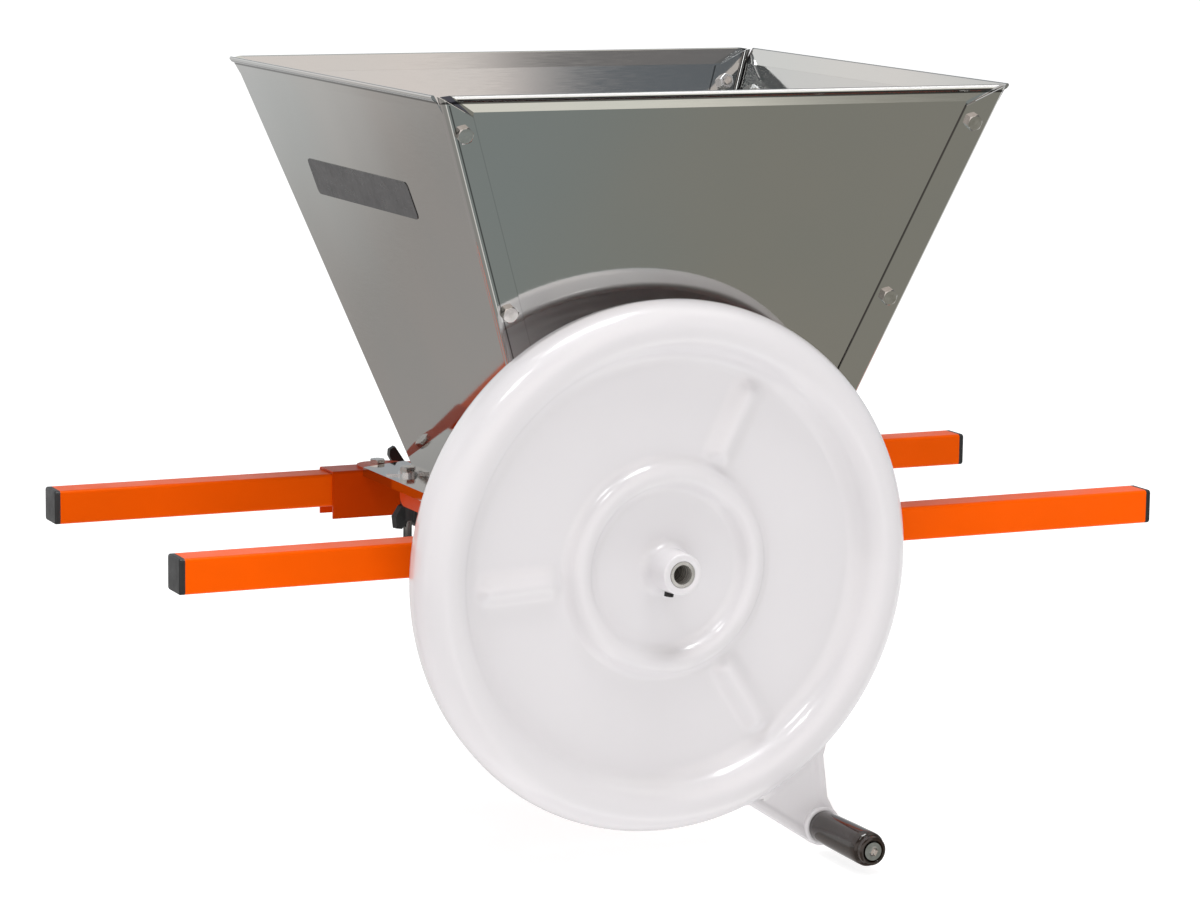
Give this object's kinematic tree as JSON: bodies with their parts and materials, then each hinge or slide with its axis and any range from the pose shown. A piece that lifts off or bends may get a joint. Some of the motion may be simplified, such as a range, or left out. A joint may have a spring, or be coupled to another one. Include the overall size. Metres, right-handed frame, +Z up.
{
  "type": "hand cranked grape crusher",
  "caption": "Hand cranked grape crusher: a flared steel hopper over fluted rollers on a barred orange frame, driven by a white flywheel with a crank grip.",
  "frame": {"origin": "middle of the machine on the undersides of the four carrying bars", "axes": "+X along the bars, +Y from the flywheel to the far rail, +Z up"},
  "size_m": [0.922, 0.5777, 0.6554],
  "materials": {
    "frame_orange": "gloss powder coat",
    "cap_black": "satin",
    "wing_black": "satin",
    "zinc_plate": "zinc plated",
    "stainless": "finely brushed",
    "plate_dark": "satin",
    "roller_alloy": "cast",
    "shaft_steel": "turned",
    "black_steel": "blackened",
    "bush_nylon": "satin",
    "gear_iron": "cast, greased teeth",
    "wheel_white": "gloss enamel",
    "grip_black": "gloss"
  },
  "bodies": {
    "frame": {"front_rail": "frame_orange", "rear_rail": "frame_orange", "left_cross_member": "frame_orange", "right_cross_member": "frame_orange", "clamp_nuts": "zinc_plate", "cross_member_bolts": "zinc_plate", "flange_bolts": "zinc_plate", "flange_washers": "zinc_plate", "flange_eared_washers": "zinc_plate", "hopper_left_panel": "stainless", "hopper_right_panel": "stainless", "hopper_front_panel": "stainless", "hopper_rear_panel": "stainless", "hopper_bolts": "zinc_plate", "hopper_nuts": "zinc_plate", "label_plate": "plate_dark", "left_guide_plate": "stainless", "right_guide_plate": "stainless", "front_drive_bush": "bush_nylon", "rear_drive_bush": "bush_nylon", "front_driven_bush": "bush_nylon", "rear_driven_bush": "bush_nylon", "gear_guard": "frame_orange", "gear_guard_back": "frame_orange", "guard_screws": "zinc_plate"},
    "drive": {"drive_shaft": "shaft_steel", "drive_roller": "roller_alloy", "drive_roller_ends": "roller_alloy", "drive_gear": "gear_iron", "drive_gear_pin": "shaft_steel", "drive_shaft_ring": "black_steel", "flywheel": "wheel_white", "wheel_set_screw": "black_steel", "grip_bolt": "shaft_steel"},
    "driven": {"driven_shaft": "shaft_steel", "driven_roller": "roller_alloy", "driven_roller_ends": "roller_alloy", "driven_gear": "gear_iron", "driven_gear_pin": "shaft_steel", "driven_shaft_ring": "black_steel"},
    "grip": {"crank_grip": "grip_black"},
    "front_left_bar": {"front_left_bar": "frame_orange", "front_left_cap": "cap_black"},
    "front_left_clamp": {"front_left_clamp_screw": "wing_black"},
    "front_left_wing": {"front_left_wing_nut": "wing_black"},
    "front_right_bar": {"front_right_bar": "frame_orange", "front_right_cap": "cap_black"},
    "front_right_clamp": {"front_right_clamp_screw": "wing_black"},
    "front_right_wing": {"front_right_wing_nut": "wing_black"},
    "rear_left_bar": {"rear_left_bar": "frame_orange", "rear_left_cap": "cap_black"},
    "rear_left_clamp": {"rear_left_clamp_screw": "wing_black"},
    "rear_left_wing": {"rear_left_wing_nut": "wing_black"},
    "rear_right_bar": {"rear_right_bar": "frame_orange", "rear_right_cap": "cap_black"},
    "rear_right_clamp": {"rear_right_clamp_screw": "wing_black"},
    "rear_right_wing": {"rear_right_wing_nut": "wing_black"}
  },
  "joints": [
    {"name": "drive_turn", "type": "hinge", "parent": "frame", "child": "drive", "pos_m": [-0.0511, 0, 0.0043], "axis": [0, 1, 0], "continuous": true},
    {"name": "driven_turn", "type": "hinge", "parent": "frame", "child": "driven", "pos_m": [0.0511, 0, 0.0043], "axis": [0, 1, 0], "continuous": true},
    {"name": "grip_spin", "type": "hinge", "parent": "drive", "child": "grip", "pos_m": [0.10341, -0.28, -0.23363], "axis": [0, 1, 0], "continuous": true},
    {"name": "front_left_bar_slide", "type": "slide", "parent": "frame", "child": "front_left_bar", "axis": [-1, 0, 0], "range_m": [-0.03, 0.005]},
    {"name": "front_left_clamp_turn", "type": "hinge", "parent": "frame", "child": "front_left_clamp", "pos_m": [-0.14535, -0.195, 0.015], "axis": [0, -1, 0], "range_deg": [0, 90]},
    {"name": "front_left_wing_turn", "type": "hinge", "parent": "frame", "child": "front_left_wing", "pos_m": [-0.148, -0.098, 0.01], "axis": [0, 0, -1], "range_deg": [0, 90]},
    {"name": "front_right_bar_slide", "type": "slide", "parent": "frame", "child": "front_right_bar", "axis": [1, 0, 0], "range_m": [-0.03, 0.005]},
    {"name": "front_right_clamp_turn", "type": "hinge", "parent": "frame", "child": "front_right_clamp", "pos_m": [0.14535, -0.195, 0.015], "axis": [0, -1, 0], "range_deg": [0, 90]},
    {"name": "front_right_wing_turn", "type": "hinge", "parent": "frame", "child": "front_right_wing", "pos_m": [0.148, -0.098, 0.01], "axis": [0, 0, -1], "range_deg": [0, 90]},
    {"name": "rear_left_bar_slide", "type": "slide", "parent": "frame", "child": "rear_left_bar", "axis": [-1, 0, 0], "range_m": [-0.03, 0.005]},
    {"name": "rear_left_clamp_turn", "type": "hinge", "parent": "frame", "child": "rear_left_clamp", "pos_m": [-0.10816, 0.195, 0.015], "axis": [0, 1, 0], "range_deg": [0, 90]},
    {"name": "rear_left_wing_turn", "type": "hinge", "parent": "frame", "child": "rear_left_wing", "pos_m": [-0.148, 0.098, 0.01], "axis": [0, 0, -1], "range_deg": [0, 90]},
    {"name": "rear_right_bar_slide", "type": "slide", "parent": "frame", "child": "rear_right_bar", "axis": [1, 0, 0], "range_m": [-0.03, 0.005]},
    {"name": "rear_right_clamp_turn", "type": "hinge", "parent": "frame", "child": "rear_right_clamp", "pos_m": [0.10816, 0.195, 0.015], "axis": [0, 1, 0], "range_deg": [0, 90]},
    {"name": "rear_right_wing_turn", "type": "hinge", "parent": "frame", "child": "rear_right_wing", "pos_m": [0.148, 0.098, 0.01], "axis": [0, 0, -1], "range_deg": [0, 90]}
  ],
  "couplings": [
    {"joint": "driven_turn", "follows": "drive_turn", "ratio": -1}
  ]
}
